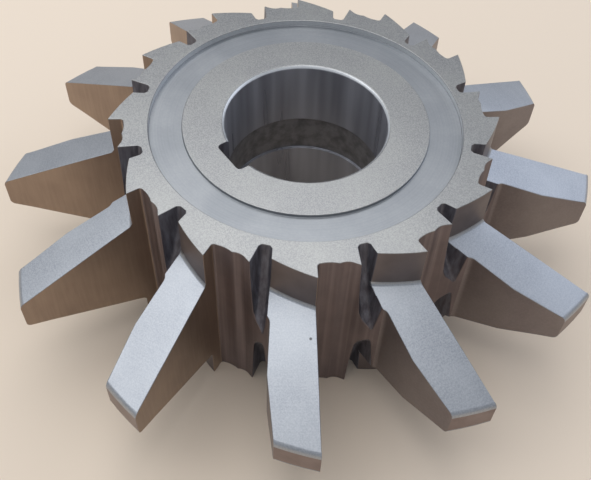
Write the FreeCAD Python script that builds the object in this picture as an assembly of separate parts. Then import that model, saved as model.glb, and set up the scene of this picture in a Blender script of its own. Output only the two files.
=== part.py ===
import FreeCAD, Part
import math
import os

# A rack milling cutter: one solid piece of tool steel. A ring of twelve long teeth of rack form stands
# out from a hub with a keyed bore. Lengths are in millimetres and angles in degrees.
# The origin is on the bore's axis in the lower side face, with +Z along the bore.

# Hub
cutter_width = 75.0
bore_diameter = 60.0
keyway_width = 14.0
keyway_height = 64.2
keyway_corner_radius = 1.6
keyway_direction = -90.0
bore_relief_diameter = 62.0
bore_relief_length = 17.0
bore_chamfer = 1.0
boss_diameter = 91.0
boss_setback = 1.2
groove_outer_diameter = 115.0
groove_depth = 2.5

# Tooth form, measured in the flat cutting face
teeth = 12
land_diameter = 144.0
tip_diameter = 233.0
tooth_tip_width = 12.2
tooth_middle_setback = 1.6
flank_angle = 20.0
tip_corner_radius = 2.4
tip_relief_angle = 14.5
keyway_past_cutting_face = 3.1

# Back of a tooth: it leans out from the hub to a crease and in again from there to the tip
crease_radius = 91.1
crease_thickness = 16.5
back_lean_in = 4.4
back_lean_out = 4.7

# Floor of the gash between two teeth
gash_radius = 66.3
foot_radius = 1.2
scallop_depth = 0.2
cusp_rise = 0.5
cusp_share = 0.52
ramp_start_share = 0.82
ramp_start_rise = 0.8
ridge_rise = 2.6
ridge_before_edge = 18.0
ramp_corner_radius = 3.0

# Slots that part the ridge from the back of the next tooth's land, one from each side face
slot_before_edge = 15.3
slot_floor_radius = 60.6
slot_floor_width = 2.6
slot_corner_bevel = 0.9
slot_side_angle = 10.0
slot_length = 33.0
slot_end_radius = 71.8
slot_disc_diameter = 150.0

# Derived sizes
pitch = 360.0 / teeth
land_radius = land_diameter / 2
tip_radius = tip_diameter / 2
relief_offset = tip_radius * math.tan(math.radians(tip_relief_angle))
first_tooth_direction = keyway_direction - keyway_past_cutting_face
tooth_middle = cutter_width / 2 - tooth_middle_setback
tooth_root_width = tooth_tip_width + 2 * (tip_radius - land_radius) * math.tan(math.radians(flank_angle))
collar_radius = land_radius + ridge_rise
overshoot = 5.0
clear_radius = tip_radius + 3 * overshoot
sector_overlap = 0.5


def point(x, y, z=0.0):
    return FreeCAD.Vector(x, y, z)


def polar(radius, degrees):
    angle = math.radians(degrees)
    return point(radius * math.cos(angle), radius * math.sin(angle))


def upright(radius, height):
    """A point of a turned profile, drawn in the XZ plane."""
    return point(radius, 0, height)


def turned(vector, degrees):
    return FreeCAD.Rotation(point(0, 0, 1), degrees).multVec(vector)


def round_corner(before, corner, after, radius):
    """The two tangent points and the middle of an arc that rounds a corner."""
    back = (before - corner).normalize()
    ahead = (after - corner).normalize()
    half_angle = back.getAngle(ahead) / 2
    reach = radius / math.tan(half_angle)
    middle = corner + (back + ahead).normalize() * (radius / math.sin(half_angle) - radius)
    return corner + back * reach, middle, corner + ahead * reach


def rounded_path(corners, closed=False):
    """Straight runs through (point, radius) corners, each corner with a radius rounded by an arc."""
    edges = []
    count = len(corners)
    start = None if closed else corners[0][0]
    order = range(count) if closed else range(1, count - 1)
    first = None
    for index in order:
        corner, radius = corners[index]
        enter = leave = corner
        if radius:
            before = corners[index - 1][0]
            after = corners[(index + 1) % count][0]
            enter, middle, leave = round_corner(before, corner, after, radius)
        if start is None:
            first = enter
        else:
            edges.append(Part.makeLine(start, enter))
        if radius:
            edges.append(Part.Arc(enter, middle, leave).toShape())
        start = leave
    edges.append(Part.makeLine(start, first if closed else corners[-1][0]))
    return edges


def face_of(edges):
    return Part.Face(Part.Wire(edges))


def crossing(start_a, along_a, start_b, along_b):
    """Where two straight lines in the XY plane meet."""
    offset = start_b - start_a
    share = (offset.x * along_b.y - offset.y * along_b.x) / (along_a.x * along_b.y - along_a.y * along_b.x)
    return start_a + along_a * share


def around(shape, count, start=0.0):
    """Evenly spaced copies of a shape round the Z axis."""
    copies = []
    for index in range(count):
        copy = shape.copy()
        copy.rotate(point(0, 0), point(0, 0, 1), start + index * 360.0 / count)
        copies.append(copy)
    return copies


def on_both_sides(shape):
    """A shape and its mirror image across the cutter's middle plane."""
    return [shape, shape.mirror(point(0, 0, cutter_width / 2), point(0, 0, 1))]


# The tooth frame: the cutting face lies along +X, it cuts towards +Y, and the tooth's back is on the -Y side.

def relief_radius(radius):
    """Distance from the relief axis of a point that lies in the cutting face."""
    return math.hypot(radius, relief_offset)


def tooth_profile():
    """Half section of the relieved blank: side lands, sloping flanks and a narrow tip with round corners."""
    land = relief_radius(land_radius)
    tip = relief_radius(tip_radius)
    corners = [
        (upright(0, 0), 0),
        (upright(land, 0), 0),
        (upright(land, tooth_middle - tooth_root_width / 2), 0),
        (upright(tip, tooth_middle - tooth_tip_width / 2), tip_corner_radius),
        (upright(tip, tooth_middle + tooth_tip_width / 2), tip_corner_radius),
        (upright(land, tooth_middle + tooth_root_width / 2), 0),
        (upright(land, cutter_width), 0),
        (upright(0, cutter_width), 0),
    ]
    return face_of(rounded_path(corners, closed=True))


def relieved_blank():
    """One tooth's share of the blank. It is turned about an axis set off from the cutter's own, so that
    every part of the form falls away behind the cutting face and keeps its shape when reground."""
    profile = tooth_profile()
    profile.translate(point(0, relief_offset))
    disc = profile.revolve(point(0, relief_offset), point(0, 0, 1), 360)
    back = -slot_before_edge - sector_overlap
    front = 2 * sector_overlap
    corners = [(point(0, 0), 0), (polar(2 * clear_radius, back), 0), (polar(2 * clear_radius, front), 0)]
    wedge = face_of(rounded_path(corners, closed=True)).extrude(point(0, 0, cutter_width))
    return disc.common(wedge)


def collar_blank():
    """The full-width sector of the hub that carries the floor of a gash, up to the middle of the slot."""
    span = pitch - slot_before_edge - sector_overlap
    collar = Part.makeCylinder(collar_radius, cutter_width, point(0, 0), point(0, 0, 1), span)
    collar.rotate(point(0, 0), point(0, 0, 1), sector_overlap)
    return collar


def back_point(along):
    """A point on the back of the next tooth, by its distance along that tooth's cutting face."""
    lean = back_lean_in if along < crease_radius else back_lean_out
    thickness = crease_thickness - abs(crease_radius - along) * math.tan(math.radians(lean))
    return turned(point(along, -thickness), pitch)


def gash_floor():
    """The floor from the foot of the cutting face: two shallow scallops, then a ramp to the next tooth."""
    ridge_angle = pitch - ridge_before_edge
    foot_end = point(gash_radius, foot_radius)
    foot_end_angle = math.degrees(math.atan2(foot_end.y, foot_end.x))
    cusp_angle = cusp_share * ridge_angle
    ramp_angle = ramp_start_share * ridge_angle
    first_low = polar(gash_radius - scallop_depth, (foot_end_angle + cusp_angle) / 2)
    cusp = polar(gash_radius + cusp_rise, cusp_angle)
    second_low = polar(gash_radius + scallop_depth, (cusp_angle + ramp_angle) / 2)
    ramp_start = polar(gash_radius + ramp_start_rise, ramp_angle)
    ridge = polar(gash_radius + ridge_rise, ridge_angle)
    arcs = [
        Part.Arc(foot_end, first_low, cusp).toShape(),
        Part.Arc(cusp, second_low, ramp_start).toShape(),
    ]
    return arcs, foot_end, ramp_start, ridge


def gash():
    """The space between a cutting face and the back of the next tooth, cut through the whole width."""
    arcs, foot_end, ramp_start, ridge = gash_floor()
    outside = point(clear_radius, 0)
    foot_start = point(gash_radius + foot_radius, 0)
    foot_middle = point(gash_radius, 0) + point(1, 1) * foot_radius * (1 - math.sqrt(0.5))
    crease = back_point(crease_radius)
    inner_back = back_point(gash_radius)
    corner = crossing(ramp_start, ridge - ramp_start, crease, inner_back - crease)
    back = [
        (ramp_start, 0),
        (corner, ramp_corner_radius),
        (crease, 0),
        (back_point(clear_radius), 0),
        (outside, 0),
    ]
    edges = [Part.makeLine(outside, foot_start), Part.Arc(foot_start, foot_middle, foot_end).toShape()]
    edges += arcs + rounded_path(back)
    space = face_of(edges).extrude(point(0, 0, cutter_width + 2 * overshoot))
    space.translate(point(0, 0, -overshoot))
    return space


def slot_disc():
    """The space of the upper slot: a disc with a narrow rim and sloping sides that runs out into the ramp."""
    radius = slot_disc_diameter / 2
    face_point = upright(slot_floor_radius, cutter_width)
    end_point = upright(slot_end_radius, cutter_width - slot_length)
    chord = end_point - face_point
    outward = point(slot_length, 0, chord.x).normalize()
    centre = (face_point + end_point) / 2 + outward * math.sqrt(radius ** 2 - (chord.Length / 2) ** 2)
    half_floor = slot_floor_width / 2
    side_start = radius - slot_corner_bevel
    half_rim = half_floor + slot_corner_bevel
    half_hub = half_rim + side_start * math.tan(math.radians(slot_side_angle))
    corners = [
        point(0, -half_hub),
        point(side_start, -half_rim),
        point(radius, -half_floor),
        point(radius, half_floor),
        point(side_start, half_rim),
        point(0, half_hub),
    ]
    profile = face_of(rounded_path([(corner, 0) for corner in corners], closed=True))
    disc = profile.revolve(point(0, 0), point(0, 1, 0), 360)
    disc.translate(centre)
    disc.rotate(point(0, 0), point(0, 0, 1), pitch - slot_before_edge)
    return disc


def turned_bore():
    """The bore with its end chamfers and the wider relief between its two lands."""
    radius = bore_diameter / 2
    relief = bore_relief_diameter / 2
    middle = cutter_width / 2
    relief_low = middle - bore_relief_length / 2
    relief_high = middle + bore_relief_length / 2
    low_face = boss_setback
    high_face = cutter_width - boss_setback
    corners = [
        upright(0, -overshoot),
        upright(radius + bore_chamfer, -overshoot),
        upright(radius + bore_chamfer, low_face),
        upright(radius, low_face + bore_chamfer),
        upright(radius, relief_low),
        upright(relief, relief_low),
        upright(relief, relief_high),
        upright(radius, relief_high),
        upright(radius, high_face - bore_chamfer),
        upright(radius + bore_chamfer, high_face),
        upright(radius + bore_chamfer, cutter_width + overshoot),
        upright(0, cutter_width + overshoot),
    ]
    profile = face_of(rounded_path([(corner, 0) for corner in corners], closed=True))
    return profile.revolve(point(0, 0), point(0, 0, 1), 360)


def keyway():
    """The keyway along the whole bore, with rounded corners at its floor."""
    floor = keyway_height - bore_diameter / 2
    half = keyway_width / 2
    corners = [
        (point(0, -half), 0),
        (point(floor, -half), keyway_corner_radius),
        (point(floor, half), keyway_corner_radius),
        (point(0, half), 0),
    ]
    slot = face_of(rounded_path(corners, closed=True)).extrude(point(0, 0, cutter_width + 2 * overshoot))
    slot.translate(point(0, 0, -overshoot))
    slot.rotate(point(0, 0), point(0, 0, 1), keyway_direction)
    return slot


def side_recess():
    """The turned recess in the upper side face: a groove round a boss that is set a little back."""
    boss = boss_diameter / 2
    outer = groove_outer_diameter / 2
    floor = cutter_width - groove_depth
    boss_face = cutter_width - boss_setback
    corners = [
        (upright(0, cutter_width + overshoot), 0),
        (upright(outer, cutter_width + overshoot), 0),
        (upright(outer, floor), 0),
        (upright(boss, floor), 0),
        (upright(boss, boss_face), 0),
        (upright(0, boss_face), 0),
    ]
    return face_of(rounded_path(corners, closed=True)).revolve(point(0, 0), point(0, 0, 1), 360)


def milling_cutter():
    teeth_blanks = around(relieved_blank(), teeth, first_tooth_direction)
    collars = around(collar_blank(), teeth, first_tooth_direction)
    body = teeth_blanks[0].fuse(teeth_blanks[1:] + collars)
    body = body.cut(around(gash(), teeth, first_tooth_direction))
    for disc in on_both_sides(slot_disc()):
        body = body.cut(around(disc, teeth, first_tooth_direction))
    body = body.cut([turned_bore(), keyway()] + on_both_sides(side_recess()))
    return body.removeSplitter()


os.makedirs("parts", exist_ok=True)
cutter = milling_cutter()
solids = cutter.Solids
print("solids", len(solids), "faces", len(cutter.Faces), "valid", cutter.isValid())
print("volume cm3", round(cutter.Volume / 1000, 1), "size", cutter.BoundBox)
solids[0].exportStep("parts/milling_cutter.step")
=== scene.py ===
import math

import bpy
from mathutils import Euler, Matrix, Vector


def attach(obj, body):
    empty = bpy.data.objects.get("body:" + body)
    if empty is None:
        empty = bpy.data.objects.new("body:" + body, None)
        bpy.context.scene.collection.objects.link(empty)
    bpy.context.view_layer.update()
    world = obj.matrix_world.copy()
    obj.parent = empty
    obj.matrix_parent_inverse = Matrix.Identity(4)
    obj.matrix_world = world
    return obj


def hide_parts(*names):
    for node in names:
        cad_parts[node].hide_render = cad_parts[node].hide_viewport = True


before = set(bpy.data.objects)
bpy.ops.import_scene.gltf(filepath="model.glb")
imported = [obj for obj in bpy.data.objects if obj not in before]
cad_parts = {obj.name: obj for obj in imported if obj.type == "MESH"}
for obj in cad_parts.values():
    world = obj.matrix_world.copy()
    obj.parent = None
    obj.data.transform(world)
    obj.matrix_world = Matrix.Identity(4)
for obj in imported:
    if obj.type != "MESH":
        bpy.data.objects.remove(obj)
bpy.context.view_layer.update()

# A rack milling cutter of hardened tool steel, lying on one side face.
# Lengths are in millimetres unless a name says metres, and angles are in degrees.
MM = 0.001

# Sizes of the cutter that tell its surfaces apart
WIDTH = 75.0
TEETH = 12
FIRST_TOOTH = -93.1
BORE_RADIUS = 30.0
BORE_RELIEF_RADIUS = 31.0
BOSS_RADIUS = 45.5
RECESS_RADIUS = 57.5
LAND_RADIUS = 72.0
TIP_RADIUS = 116.5
TIP_CORNER_RADIUS = 2.4
TIP_WIDTH = 12.2
TOOTH_MIDDLE = 35.9
CREASE_RADIUS = 91.1
CREASE_THICKNESS = 16.5
BACK_LEAN_IN = 4.4
BACK_LEAN_OUT = 4.7
RAMP_CORNER = 2.0
SLOT_TURN = 14.7
SLOT_DISC_RADIUS = 75.0
SLOT_DISC_OUT = 135.5
SLOT_DISC_UP = 81.9
SLOT_HALF_RIM = 2.2
SLOT_SIDE_ANGLE = 10.0
TIP_RELIEF_ANGLE = 14.5
FLANK_ANGLE = 20.0

# How far a face's middle may lie from the surface that it belongs to
CLOSE = 0.2

# Limits that part one surface from the next. An upright hub face within the keyway's reach is the keyway's.
# A level face deeper than the recess floor's limit is that floor, and past the shoulder's it is in the bore.
KEYWAY_REACH = 43.5
RECESS_FLOOR_DEPTH = 2.0
BORE_SHOULDER_DEPTH = 3.0
SLOT_FLOOR_BAND = 1.2
BACK_FOOT_HEIGHT = 4.0
TOOTH_BEHIND = 22.0
TOOTH_AHEAD = 1.0
FACING_AXIS = 0.9

# The upright part of a face's normal, which is 0 on a wall and 1 on a level face
LAND_LEVEL = 0.05
WALL_LEVEL = 0.1
CHAMFER_LEVEL = 0.3
FLANK_LEVEL = 0.85
FLAT_LEVEL = 0.99

# Merging the solid's mesh
MERGE_DISTANCE = 0.05
FLAT_ANGLE = 0.05
QUAD_FACE_ANGLE = 3.0
QUAD_SHAPE_ANGLE = 180.0

# Edges that this script breaks or fills, and its smooth shading
EDGE_BREAK = 0.25
CORNER_FILLET = 1.0
SHARP_ANGLE = 40.0
SMOOTH_ANGLE = 62.0

# Each tooth's relieved form is turned about an axis this far ahead of the bore's axis.
# A rho is a distance from that relief axis.
PITCH = 360.0 / TEETH
RELIEF_OFFSET = TIP_RADIUS * math.tan(math.radians(TIP_RELIEF_ANGLE))
LAND_RHO = math.hypot(LAND_RADIUS, RELIEF_OFFSET)
TIP_RHO = math.hypot(TIP_RADIUS, RELIEF_OFFSET)
FLANK_DROP = (TIP_RADIUS - LAND_RADIUS) * math.tan(math.radians(FLANK_ANGLE))
FLANK_LEAN = math.atan(FLANK_DROP / (TIP_RHO - LAND_RHO))
ROUNDING_START = TIP_RHO - TIP_CORNER_RADIUS * (1 - math.sin(FLANK_LEAN))
ROUNDING_CENTRE = TIP_WIDTH / 2 - TIP_CORNER_RADIUS * (1 - math.sin(FLANK_LEAN)) / math.cos(FLANK_LEAN)

# The camera of the photograph
CAMERA_BEARING = -39.06
CAMERA_ELEVATION = 51.08
CAMERA_ROLL = 3.74
CAMERA_DISTANCE = 316.2
CAMERA_TARGET = (18.4, -10.7, 35.9)
CAMERA_LENS = 49.74
CAMERA_SHIFT = (-0.0216, -0.0172)

# The ceiling lamp, the side window, the room and the table top, in metres and watts
LAMP_PLACE = (-0.60, -0.26, 1.1)
LAMP_SIZE = (1.7, 1.4)
LAMP_POWER = 13.5
WINDOW_PLACE = (0.20, 1.20, 0.85)
WINDOW_SIZE = (1.2, 1.1)
WINDOW_POWER = 4.4
ROOM_STRENGTH = 0.7
FLOOR_SIZE = 6.0

# Names in the frame
NODE = "milling_cutter"

# Sockets of the Mix node when it mixes colours
MIX_FACTOR = 0
MIX_FIRST = 6
MIX_SECOND = 7
MIX_RESULT = 2


def linear(code):
    """The linear colour of an sRGB hex value."""
    channels = [int(code[start:start + 2], 16) / 255 for start in (1, 3, 5)]
    return tuple(c / 12.92 if c <= 0.04045 else ((c + 0.055) / 1.055) ** 2.4 for c in channels) + (1.0,)


def add_node(tree, kind, settings=None, inputs=None):
    """Adds a shader node. A setting is an attribute, and an input is a value or another node's output."""
    node = tree.nodes.new(kind)
    for name, value in (settings or {}).items():
        setattr(node, name, value)
    for name, value in (inputs or {}).items():
        if isinstance(value, bpy.types.NodeSocket):
            tree.links.new(value, node.inputs[name])
        else:
            node.inputs[name].default_value = value
    return node


def deselect_all():
    """Clears the selection, because an operator acts on all that is selected."""
    bpy.ops.object.select_all(action="DESELECT")


def new_material(name):
    """A node material of this name, emptied, and its node tree."""
    material = bpy.data.materials.new(name)
    material.use_nodes = True
    tree = material.node_tree
    tree.nodes.clear()
    return material, tree


def per_metre(millimetres):
    """Texture scale that repeats a pattern at this spacing in Object coordinates."""
    return 1.0 / (millimetres * MM)


def position(tree):
    """The place on the piece, in Object coordinates."""
    return add_node(tree, "ShaderNodeTexCoord").outputs["Object"]


def noise(tree, place, spacing, detail=3.0, roughness=0.55, stretch=None):
    """Noise whose grains are about the spacing in millimetres, drawn out by a stretch along each axis."""
    vector = place
    if stretch:
        scale = tuple(1.0 / part for part in stretch)
        mapping = add_node(tree, "ShaderNodeMapping", inputs={"Vector": place, "Scale": scale})
        vector = mapping.outputs["Vector"]
    inputs = {"Vector": vector, "Scale": per_metre(spacing), "Detail": detail, "Roughness": roughness}
    return add_node(tree, "ShaderNodeTexNoise", inputs=inputs).outputs["Fac"]


def radius_of(tree, place):
    """Distance from the bore's axis."""
    flat = add_node(tree, "ShaderNodeVectorMath", {"operation": "MULTIPLY"}, {0: place, 1: (1.0, 1.0, 0.0)})
    length = add_node(tree, "ShaderNodeVectorMath", {"operation": "LENGTH"}, {0: flat.outputs["Vector"]})
    return length.outputs["Value"]


def ring_lines(tree, place, spacing, detail=2.0):
    """Turning lines: noise that changes only with the distance from the axis."""
    radius = radius_of(tree, place)
    inputs = {"W": radius, "Scale": per_metre(spacing), "Detail": detail}
    return add_node(tree, "ShaderNodeTexNoise", {"noise_dimensions": "1D"}, inputs).outputs["Fac"]


def spread(tree, value, low, high, out_low=0.0, out_high=1.0):
    """Maps a stretch of a value onto another stretch, and clamps it."""
    inputs = {"Value": value, "From Min": low, "From Max": high, "To Min": out_low, "To Max": out_high}
    return add_node(tree, "ShaderNodeMapRange", inputs=inputs).outputs["Result"]


def blend_colours(tree, factor, first, second):
    """Mixes two colours, each a hex value or a socket."""
    inputs = {MIX_FACTOR: factor}
    for index, colour in ((MIX_FIRST, first), (MIX_SECOND, second)):
        inputs[index] = linear(colour) if isinstance(colour, str) else colour
    node = add_node(tree, "ShaderNodeMix", {"data_type": "RGBA"}, inputs)
    return node.outputs[MIX_RESULT]


def math_node(tree, operation, first, second):
    """The result of one step of arithmetic on two values or sockets."""
    return add_node(tree, "ShaderNodeMath", {"operation": operation}, {0: first, 1: second}).outputs[0]


def pits(tree, place, spacing, size, share):
    """Sparse small pits: 1 inside a pit and 0 outside. Only a share of the cells holds one. The size is a
    pit's radius, and the edge is soft over its outer two fifths."""
    inputs = {"Vector": place, "Scale": per_metre(spacing), "Randomness": 1.0}
    cells = add_node(tree, "ShaderNodeTexVoronoi", inputs=inputs)
    near = spread(tree, cells.outputs["Distance"], size / spacing * 0.6, size / spacing, 1.0, 0.0)
    pick = add_node(tree, "ShaderNodeSeparateColor", inputs={"Color": cells.outputs["Color"]}).outputs["Red"]
    chosen = math_node(tree, "LESS_THAN", pick, share)
    return math_node(tree, "MULTIPLY", near, chosen)


def steel(tree, colour, roughness, height, strength, depth, metallic=0.85):
    """Bare steel: a metal whose colour, roughness and relief come from sockets or plain values. The
    relief's depth is in millimetres. Less metallic steel stands for a film of oil or scale."""
    bump_inputs = {"Height": height, "Strength": strength, "Distance": depth * MM}
    bump = add_node(tree, "ShaderNodeBump", inputs=bump_inputs)
    inputs = {
        "Base Color": linear(colour) if isinstance(colour, str) else colour,
        "Metallic": metallic,
        "Roughness": roughness,
        "Normal": bump.outputs["Normal"],
    }
    shader = add_node(tree, "ShaderNodeBsdfPrincipled", inputs=inputs)
    add_node(tree, "ShaderNodeOutputMaterial", inputs={"Surface": shader.outputs["BSDF"]})


def surface_ground_steel():
    """Hardened steel, surface ground: an even light grey with fine sparkling grain and a few dark pits. The
    grain, typically about 0.05 mm, is drawn at 0.42 mm so that it shows."""
    material, tree = new_material("surface_ground_steel")
    place = position(tree)
    grain = noise(tree, place, 0.42, detail=2.0, roughness=0.6)
    cloud = noise(tree, place, 26.0, detail=2.0)
    tone = blend_colours(tree, spread(tree, cloud, 0.35, 0.65), "#898A8C", "#929393")
    tone = blend_colours(tree, spread(tree, grain, 0.36, 0.66, 0.0, 0.45), tone, "#BFC0BE")
    spots = pits(tree, place, spacing=9.0, size=0.5, share=0.2)
    tone = blend_colours(tree, math_node(tree, "MULTIPLY", spots, 0.7), tone, "#4C4640")
    roughness = spread(tree, grain, 0.2, 0.8, 0.28, 0.4)
    steel(tree, tone, roughness, grain, strength=0.25, depth=0.015)
    return material


def turned_recess_steel():
    """Turned steel with a faint blue cast: bluish grey with fine rings round the axis. The feed, typically
    about 0.2 mm, is drawn at 0.8 mm so that it shows."""
    material, tree = new_material("turned_recess_steel")
    place = position(tree)
    rings = ring_lines(tree, place, 0.8)
    grain = noise(tree, place, 1.1, roughness=0.6)
    cloud = noise(tree, place, 22.0, detail=2.0)
    tone = blend_colours(tree, spread(tree, cloud, 0.35, 0.65), "#8C9095", "#9B9EA2")
    tone = blend_colours(tree, spread(tree, rings, 0.35, 0.7, 0.0, 0.16), tone, "#B2B5B7")
    tone = blend_colours(tree, spread(tree, grain, 0.35, 0.7, 0.0, 0.2), tone, "#7E8287")
    roughness = spread(tree, rings, 0.2, 0.8, 0.34, 0.42)
    steel(tree, tone, roughness, rings, strength=0.15, depth=0.02)
    return material


def form_ground_flank_steel():
    """Hardened steel, form ground: cool light grey with a sparkling grain and a faint hatch in rings round
    the bore. Both, typically about 0.05 mm, are drawn at 0.5 and 0.6 mm so that they show."""
    material, tree = new_material("form_ground_flank_steel")
    place = position(tree)
    grain = noise(tree, place, 0.5, detail=2.0, roughness=0.6)
    hatch = ring_lines(tree, place, 0.6)
    cloud = noise(tree, place, 18.0, detail=2.0)
    tone = blend_colours(tree, spread(tree, cloud, 0.35, 0.65), "#969BA3", "#A3A8AF")
    tone = blend_colours(tree, spread(tree, hatch, 0.35, 0.7, 0.0, 0.15), tone, "#BDC1C7")
    tone = blend_colours(tree, spread(tree, grain, 0.36, 0.66, 0.0, 0.5), tone, "#C3C6CA")
    spots = pits(tree, place, spacing=11.0, size=0.6, share=0.22)
    tone = blend_colours(tree, math_node(tree, "MULTIPLY", spots, 0.8), tone, "#373433")
    roughness = spread(tree, grain, 0.2, 0.8, 0.34, 0.48)
    steel(tree, tone, roughness, grain, strength=0.3, depth=0.02)
    return material


def ground_cutting_face_steel():
    """Ground cutting faces, dulled by oil and handling: warm brownish grey, smooth, with faint upright
    streaks. The grinding lines, typically about 0.1 mm apart, are drawn at 1.1 mm so that they show."""
    material, tree = new_material("ground_cutting_face_steel")
    place = position(tree)
    streaks = noise(tree, place, 1.1, stretch=(1.0, 1.0, 14.0))
    cloud = noise(tree, place, 24.0)
    tone = blend_colours(tree, spread(tree, cloud, 0.35, 0.65), "#9A8779", "#A89484")
    tone = blend_colours(tree, spread(tree, streaks, 0.36, 0.68, 0.0, 0.3), tone, "#B8A491")
    steel(tree, tone, 0.42, streaks, strength=0.08, depth=0.02)
    return material


def milled_gash_steel():
    """Milled gashes with hardening scale left on: dark brownish grey, with upright streaks and a few light
    specks. The milling marks, typically well under 1 mm apart, are drawn at 2.6 mm so that they show."""
    material, tree = new_material("milled_gash_steel")
    place = position(tree)
    streaks = noise(tree, place, 2.6, stretch=(1.0, 1.0, 60.0))
    cloud = noise(tree, place, 15.0)
    tone = blend_colours(tree, spread(tree, cloud, 0.35, 0.65), "#756A6A", "#837675")
    tone = blend_colours(tree, spread(tree, streaks, 0.45, 0.72, 0.0, 0.5), tone, "#AB9D9A")
    spots = pits(tree, place, spacing=16.0, size=0.6, share=0.15)
    tone = blend_colours(tree, math_node(tree, "MULTIPLY", spots, 0.7), tone, "#F9F8F9")
    roughness = spread(tree, streaks, 0.3, 0.7, 0.45, 0.58)
    steel(tree, tone, roughness, streaks, strength=0.15, depth=0.05)
    return material


def milled_back_steel():
    """Backs of the teeth, milled and hardened: smooth dark grey with a fine even grain. The grain,
    typically about 0.1 mm, is drawn at 0.9 mm so that it shows."""
    material, tree = new_material("milled_back_steel")
    place = position(tree)
    grain = noise(tree, place, 0.9, roughness=0.6)
    cloud = noise(tree, place, 20.0)
    tone = blend_colours(tree, spread(tree, cloud, 0.35, 0.65), "#857B7A", "#918885")
    tone = blend_colours(tree, spread(tree, grain, 0.35, 0.7, 0.0, 0.25), tone, "#A59C99")
    steel(tree, tone, 0.5, grain, strength=0.15, depth=0.02)
    return material


def dark_land_steel():
    """Side lands between the teeth's flanks and the side faces: relieved, hardened, never ground, so an
    even dark grey. The grain, typically about 0.1 mm, is drawn at 1.2 mm so that it shows."""
    material, tree = new_material("dark_land_steel")
    place = position(tree)
    grain = noise(tree, place, 1.2, roughness=0.6)
    cloud = noise(tree, place, 12.0)
    tone = blend_colours(tree, spread(tree, cloud, 0.35, 0.65), "#766D6C", "#837A79")
    steel(tree, tone, 0.45, grain, strength=0.15, depth=0.02)
    return material


def milled_slot_steel():
    """Run-out slots and keyway walls, milled and never ground: dark grey scale with a dull sheen. The
    grain, typically about 0.1 mm, is drawn at 1.8 mm and drawn out upright so that it shows."""
    material, tree = new_material("milled_slot_steel")
    place = position(tree)
    grain = noise(tree, place, 1.8, roughness=0.6, stretch=(1.0, 1.0, 6.0))
    tone = blend_colours(tree, spread(tree, grain, 0.35, 0.7), "#56535A", "#7C7C85")
    steel(tree, tone, 0.5, grain, strength=0.3, depth=0.05, metallic=0.5)
    return material


def honed_bore_steel():
    """Honed bore: smooth dark grey with a soft sheen and soft upright bands about 5 mm wide. The honing
    marks, typically about 0.02 mm, are drawn at 0.9 mm so that they show."""
    material, tree = new_material("honed_bore_steel")
    place = position(tree)
    streaks = noise(tree, place, 5.0, detail=1.0, roughness=0.4, stretch=(1.0, 1.0, 12.0))
    grain = noise(tree, place, 0.9, detail=2.0)
    tone = blend_colours(tree, spread(tree, streaks, 0.35, 0.68), "#8E8F97", "#B0B2BA")
    roughness = spread(tree, streaks, 0.3, 0.7, 0.26, 0.38)
    steel(tree, tone, roughness, grain, strength=0.03, depth=0.01, metallic=0.5)
    return material


def rough_turned_steel():
    """The bore's relief, rough turned and oiled: dull grey, dark because little light reaches it, with rings
    and stains. The feed, typically about 0.3 mm, is drawn at 1 mm so that it shows."""
    material, tree = new_material("rough_turned_steel")
    place = position(tree)
    rings = noise(tree, place, 1.0, roughness=0.6, stretch=(20.0, 20.0, 1.0))
    stain = noise(tree, place, 5.0, detail=4.0, roughness=0.6)
    tone = blend_colours(tree, spread(tree, stain, 0.4, 0.65), "#918F8F", "#716F70")
    steel(tree, tone, 0.5, rings, strength=0.4, depth=0.06, metallic=0.4)
    return material


def painted_highlight_edge_steel():
    """Turned chamfers and rims, painted a light grey as a painted highlight so that they show as a thin
    bright line. The grain, typically about 0.1 mm, is drawn at 1.2 mm so that it shows."""
    material, tree = new_material("painted_highlight_edge_steel")
    place = position(tree)
    grain = noise(tree, place, 1.2, detail=2.0)
    # Painted highlight: a light grey, lighter than every other finish, so that chamfers and rims read as a
    # bright line
    tone = blend_colours(tree, grain, "#C4C8CC", "#DDE0E2")
    steel(tree, tone, 0.32, grain, strength=0.1, depth=0.02, metallic=0.6)
    return material


def tip_land_steel():
    """Relieved tip lands: ground, then dulled by use to a dark warm grey. The grain, typically about
    0.05 mm, is drawn at 0.8 mm so that it shows."""
    material, tree = new_material("tip_land_steel")
    place = position(tree)
    grain = noise(tree, place, 0.8, roughness=0.6)
    cloud = noise(tree, place, 9.0)
    tone = blend_colours(tree, spread(tree, cloud, 0.35, 0.65), "#7B6B67", "#8E7F7B")
    steel(tree, tone, 0.4, grain, strength=0.2, depth=0.02)
    return material


FINISHES = [
    surface_ground_steel,
    turned_recess_steel,
    form_ground_flank_steel,
    ground_cutting_face_steel,
    milled_back_steel,
    milled_gash_steel,
    milled_slot_steel,
    honed_bore_steel,
    rough_turned_steel,
    painted_highlight_edge_steel,
    dark_land_steel,
    tip_land_steel,
]
GROUND_OR_TURNED = ("surface_ground_steel", "form_ground_flank_steel", "turned_recess_steel")


def sector_of(x, y):
    """The number of the sector that a point lies in. A sector runs from the cutting face of the tooth with
    its number to that of the next tooth."""
    return math.floor((math.degrees(math.atan2(y, x)) - FIRST_TOOTH) / PITCH)


def tooth_angle(tooth):
    """The direction of a tooth's cutting face, in radians."""
    return math.radians(FIRST_TOOTH + tooth * PITCH)


def tooth_place(x, y, tooth):
    """A point seen from one tooth: how far out along its cutting face, and how far ahead of it."""
    angle = tooth_angle(tooth)
    return x * math.cos(angle) + y * math.sin(angle), y * math.cos(angle) - x * math.sin(angle)


def back_thickness(along):
    """The tooth's thickness from its cutting face to its back, at a distance from the axis."""
    lean = BACK_LEAN_IN if along < CREASE_RADIUS else BACK_LEAN_OUT
    return CREASE_THICKNESS - abs(CREASE_RADIUS - along) * math.tan(math.radians(lean))


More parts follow.
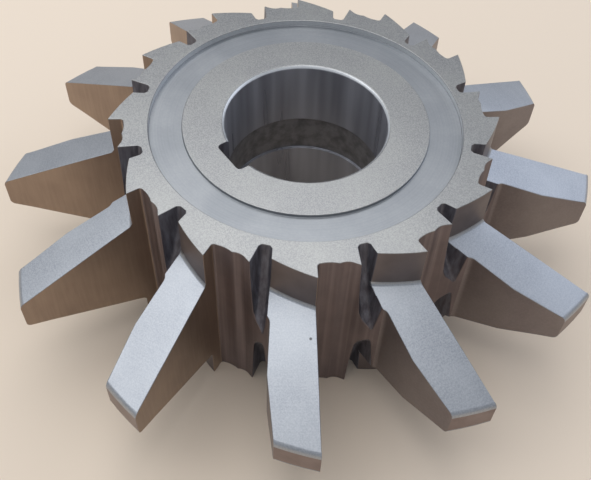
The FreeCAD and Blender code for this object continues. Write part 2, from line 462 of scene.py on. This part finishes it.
def lies_in_slot(x, y, z, tooth):
    """Whether a point lies on the floor or a side of one of the two slots in the gash ahead of a tooth."""
    along, aside = tooth_place(x, y, tooth + SLOT_TURN / PITCH)
    depth = math.hypot(along - SLOT_DISC_OUT, max(z, WIDTH - z) - SLOT_DISC_UP)
    half_width = SLOT_HALF_RIM + max(SLOT_DISC_RADIUS - depth, 0) * math.tan(math.radians(SLOT_SIDE_ANGLE))
    on_side = abs(abs(aside) - half_width) < CLOSE and depth < SLOT_DISC_RADIUS + CLOSE
    floor_start = SLOT_DISC_RADIUS - SLOT_FLOOR_BAND
    on_floor = floor_start < depth < SLOT_DISC_RADIUS + CLOSE and abs(aside) < half_width
    return on_side or on_floor


def tooth_surface(x, y, z, level, tooth):
    """The finish of a face of one tooth and the relieved form that it lies on, or nothing."""
    along, ahead = tooth_place(x, y, tooth)
    if along < 0 or not -TOOTH_BEHIND < ahead < TOOTH_AHEAD:
        return None
    if abs(ahead) < CLOSE and level < WALL_LEVEL:
        return "ground_cutting_face_steel", ""
    behind_back = -ahead - back_thickness(along)
    on_back = abs(behind_back) < CLOSE
    on_back_foot = 0 < behind_back < RAMP_CORNER and along > LAND_RADIUS - BACK_FOOT_HEIGHT
    if level < WALL_LEVEL and (on_back or on_back_foot):
        return "milled_back_steel", ""
    rho = math.hypot(along, ahead - RELIEF_OFFSET)
    if level < LAND_LEVEL and abs(rho - LAND_RHO) < CLOSE:
        return "dark_land_steel", "upright"
    if rho > ROUNDING_START:
        if abs(z - TOOTH_MIDDLE) < ROUNDING_CENTRE:
            return "tip_land_steel", "upright"
        return "form_ground_flank_steel", "rounding"
    if level > FLANK_LEVEL and rho > LAND_RHO - CLOSE:
        return "form_ground_flank_steel", "flank"
    return None


def hub_finish(z, level, radius):
    """The finish of a face of the hub's side faces, recess, bore or keyway, or nothing."""
    depth = min(z, WIDTH - z)
    if level > FLAT_LEVEL:
        if depth > BORE_SHOULDER_DEPTH:
            return "honed_bore_steel"
        return "turned_recess_steel" if depth > RECESS_FLOOR_DEPTH else "surface_ground_steel"
    if radius < BORE_RELIEF_RADIUS + CLOSE:
        # The bore's chamfers take the painted highlight.
        if level > CHAMFER_LEVEL:
            return "painted_highlight_edge_steel"
        return "honed_bore_steel" if radius < BORE_RADIUS + CLOSE else "rough_turned_steel"
    if radius < KEYWAY_REACH:
        return "milled_slot_steel"
    if radius < RECESS_RADIUS + CLOSE:
        # Out past the boss, the recess's outer wall takes the painted highlight.
        return "turned_recess_steel" if radius < BOSS_RADIUS + CLOSE else "painted_highlight_edge_steel"
    return None


def surface_of(face):
    """A face's finish, the exact form that it lies on, if any, and the tooth that it belongs to."""
    x, y, z = (part / MM for part in face.center)
    radius = math.hypot(x, y)
    level = abs(face.normal.z)
    finish = hub_finish(z, level, radius)
    if finish and radius < BORE_RELIEF_RADIUS + CLOSE and level < CHAMFER_LEVEL:
        towards_axis = -(face.normal.x * x + face.normal.y * y) / radius
        return (finish, "bore", 0) if towards_axis > FACING_AXIS else ("milled_slot_steel", "", 0)
    if finish:
        return finish, "", 0
    sector = sector_of(x, y)
    if lies_in_slot(x, y, z, sector):
        return "milled_slot_steel", "", 0
    for tooth in (sector, sector + 1):
        found = tooth_surface(x, y, z, level, tooth)
        if found:
            return found + (tooth,)
    return "milled_gash_steel", "", 0


def exact_normal(form, tooth, place):
    """The outward direction of the bore or of a form-relieved surface at one of its points, worked out
    exactly, because the solid's long thin facets would show in the polished steel."""
    x, y, z = (part / MM for part in place)
    if form == "bore":
        return Vector((-x, -y, 0)).normalized()
    along, ahead = tooth_place(x, y, tooth)
    from_axis = Vector((along, ahead - RELIEF_OFFSET))
    side = 1 if z > TOOTH_MIDDLE else -1
    from_middle = abs(z - TOOTH_MIDDLE)
    if form == "upright":
        out, up = 1.0, 0.0
    elif form == "flank":
        out, up = math.sin(FLANK_LEAN), side * math.cos(FLANK_LEAN)
    else:
        out = from_axis.length - TIP_RHO + TIP_CORNER_RADIUS
        up = side * max(from_middle - ROUNDING_CENTRE, 0)
    flat = from_axis.normalized() * out
    local = Vector((flat.x, flat.y, up)).normalized()
    local.rotate(Euler((0, 0, tooth_angle(tooth))))
    return local


def merged_copy():
    """A copy of the solid's mesh, merged, with its flat faces whole and its curved ones in strips."""
    piece = bpy.data.objects.new("rack_milling_cutter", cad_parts[NODE].data.copy())
    bpy.context.scene.collection.objects.link(piece)
    deselect_all()
    piece.select_set(True)
    bpy.context.view_layer.objects.active = piece
    bpy.ops.object.mode_set(mode="EDIT")
    bpy.ops.mesh.select_all(action="SELECT")
    bpy.ops.mesh.remove_doubles(threshold=MERGE_DISTANCE * MM)
    bpy.ops.mesh.dissolve_degenerate(threshold=MERGE_DISTANCE * MM)
    bpy.ops.mesh.dissolve_limited(angle_limit=math.radians(FLAT_ANGLE))
    bpy.ops.mesh.select_all(action="SELECT")
    face_angle = math.radians(QUAD_FACE_ANGLE)
    shape_angle = math.radians(QUAD_SHAPE_ANGLE)
    bpy.ops.mesh.tris_convert_to_quads(face_threshold=face_angle, shape_threshold=shape_angle)
    bpy.ops.object.mode_set(mode="OBJECT")
    return piece


def in_tip_rounding(place):
    """Whether a point lies on the rounding between a flank and the tip of a tooth."""
    x, y, z = (part / MM for part in place)
    sector = sector_of(x, y)
    for tooth in (sector, sector + 1):
        along, ahead = tooth_place(x, y, tooth)
        rho = math.hypot(along, ahead - RELIEF_OFFSET)
        if abs(ahead) < CREASE_THICKNESS and rho > ROUNDING_START - CLOSE:
            return abs(z - TOOTH_MIDDLE) > ROUNDING_CENTRE - CLOSE
    return False


def weigh_edges(mesh, corner, inside):
    """Picks the edges for a bevel: the inside corners, found by the two finishes that meet there, or else
    every sharp edge but those corners and the short ones round the tips."""
    sides = {}
    for face in mesh.polygons:
        for key in face.edge_keys:
            sides.setdefault(key, []).append(face)
    name = "bevel_weight_edge"
    weights = mesh.attributes.get(name) or mesh.attributes.new(name, "FLOAT", "EDGE")
    at_tip = [in_tip_rounding(vertex.co) for vertex in mesh.vertices]
    for edge in mesh.edges:
        first, second = sides[edge.key]
        chosen = {first.material_index, second.material_index} == corner
        if not inside:
            sharp = first.normal.angle(second.normal) > math.radians(SHARP_ANGLE)
            chosen = sharp and not chosen and not all(at_tip[vertex] for vertex in edge.vertices)
        weights.data[edge.index].value = float(chosen)


def bevel_weighted(piece, width, material):
    """One flat strip along every picked edge, in the material of that number."""
    bpy.ops.object.modifier_add(type="BEVEL")
    bevel = piece.modifiers[-1]
    bevel.width = width * MM
    bevel.segments = 1
    bevel.limit_method = "WEIGHT"
    bevel.use_clamp_overlap = False
    bevel.material = material
    bpy.ops.object.modifier_apply(modifier=bevel.name)


def break_edges(piece):
    """Fills the corners between flanks and side lands, then breaks the sharp edges. A broken edge takes the
    ground or turned finish beside it, if there is one, and of several the first in the list of finishes."""
    names = [material.name for material in piece.data.materials]
    flank = names.index("form_ground_flank_steel")
    corner = {flank, names.index("dark_land_steel")}
    bright = {names.index(name) for name in GROUND_OR_TURNED}
    weigh_edges(piece.data, corner, True)
    bevel_weighted(piece, CORNER_FILLET, flank)
    new_edge = len(names)
    piece.data.materials.append(None)
    weigh_edges(piece.data, corner, False)
    bevel_weighted(piece, EDGE_BREAK, new_edge)
    beside = {}
    for face in piece.data.polygons:
        if face.material_index != new_edge:
            for part in list(face.edge_keys) + list(face.vertices):
                beside.setdefault(part, set()).add(face.material_index)
    for face in piece.data.polygons:
        if face.material_index == new_edge:
            near = set().union(*(beside.get(key, set()) for key in face.edge_keys))
            near = near or set().union(*(beside.get(vertex, set()) for vertex in face.vertices))
            face.material_index = min(near & bright or near or {flank})
    piece.data.materials.pop(index=new_edge)


def smooth_surfaces(piece):
    """Smooth shading across the small steps, with exact directions on the bore and the relieved surfaces.
    Very small faces keep their own directions, except in the bore."""
    bpy.ops.object.shade_smooth_by_angle(angle=math.radians(SMOOTH_ANGLE))
    bpy.ops.object.modifier_add(type="WEIGHTED_NORMAL")
    weighted = piece.modifiers[-1]
    weighted.keep_sharp = True
    bpy.ops.object.modifier_apply(modifier=weighted.name)
    mesh = piece.data
    normals = [corner.vector.copy() for corner in mesh.corner_normals]
    smallest = (2 * EDGE_BREAK * MM) ** 2
    for face in mesh.polygons:
        finish, form, tooth = surface_of(face)
        large = form == "bore" or face.area > smallest
        if form and large and mesh.materials[face.material_index].name == finish:
            for corner in face.loop_indices:
                place = mesh.vertices[mesh.loops[corner].vertex_index].co
                normals[corner] = exact_normal(form, tooth, place)
    mesh.normals_split_custom_set(normals)


def finished_cutter():
    """The cutter with its finishes and broken edges, made from a merged copy of its solid's mesh."""
    piece = merged_copy()
    piece.data.materials.clear()
    for make in FINISHES:
        piece.data.materials.append(make())
    names = [material.name for material in piece.data.materials]
    for face in piece.data.polygons:
        face.material_index = names.index(surface_of(face)[0])
    break_edges(piece)
    smooth_surfaces(piece)
    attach(piece, "root")
    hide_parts(NODE)


def pale_floor():
    """A plain pale table top, matt and slightly warm."""
    deselect_all()
    bpy.ops.mesh.primitive_plane_add(size=FLOOR_SIZE, location=(0, 0, 0))
    floor = bpy.context.object
    floor.name = "floor"
    material, tree = new_material("pale_table_top")
    inputs = {"Base Color": linear("#E3D4C2"), "Roughness": 0.7}
    shader = add_node(tree, "ShaderNodeBsdfPrincipled", inputs=inputs)
    add_node(tree, "ShaderNodeOutputMaterial", inputs={"Surface": shader.outputs["BSDF"]})
    floor.data.materials.append(material)


def studio_light():
    """A large soft ceiling lamp square to the camera, a cool window on one side, and an even grey room."""
    bpy.ops.object.light_add(type="AREA", location=LAMP_PLACE)
    lamp = bpy.context.object
    lamp.name = "ceiling_lamp"
    lamp.rotation_euler = (0, 0, math.radians(CAMERA_BEARING + 90))
    lamp.data.shape = "RECTANGLE"
    lamp.data.size, lamp.data.size_y = LAMP_SIZE
    lamp.data.energy = LAMP_POWER
    bpy.ops.object.light_add(type="AREA", location=WINDOW_PLACE)
    window = bpy.context.object
    window.name = "side_window"
    window.rotation_euler = (-Vector(WINDOW_PLACE)).to_track_quat("-Z", "Y").to_euler()
    window.data.shape = "RECTANGLE"
    window.data.size, window.data.size_y = WINDOW_SIZE
    window.data.energy = WINDOW_POWER
    window.data.color = linear("#E6EEFF")[:3]
    world = bpy.data.worlds.new("room")
    bpy.context.scene.world = world
    world.use_nodes = True
    tree = world.node_tree
    tree.nodes.clear()
    inputs = {"Color": linear("#C9CCD2"), "Strength": ROOM_STRENGTH}
    background = add_node(tree, "ShaderNodeBackground", inputs=inputs)
    add_node(tree, "ShaderNodeOutputWorld", inputs={"Surface": background.outputs["Background"]})


def photo_camera():
    """The camera at the photograph's place, looking down on the cutter with a slight roll."""
    bearing = math.radians(CAMERA_BEARING)
    elevation = math.radians(CAMERA_ELEVATION)
    roll = math.radians(CAMERA_ROLL)
    flat = -math.cos(elevation)
    forward = Vector((flat * math.cos(bearing), flat * math.sin(bearing), -math.sin(elevation)))
    level_right = forward.cross(Vector((0, 0, 1))).normalized()
    level_up = level_right.cross(forward)
    right = level_right * math.cos(roll) + level_up * math.sin(roll)
    up = level_up * math.cos(roll) - level_right * math.sin(roll)
    place = (Vector(CAMERA_TARGET) - forward * CAMERA_DISTANCE) * MM
    bpy.ops.object.camera_add(location=place)
    camera = bpy.context.object
    camera.name = "photo_camera"
    camera.rotation_euler = Matrix((right, up, -forward)).transposed().to_euler()
    camera.data.sensor_width = 36.0
    camera.data.lens = CAMERA_LENS
    camera.data.shift_x, camera.data.shift_y = CAMERA_SHIFT
    camera.data.clip_start = 0.01
    bpy.context.scene.camera = camera


finished_cutter()
pale_floor()
studio_light()
photo_camera()
bpy.context.scene.view_settings.view_transform = "Standard"
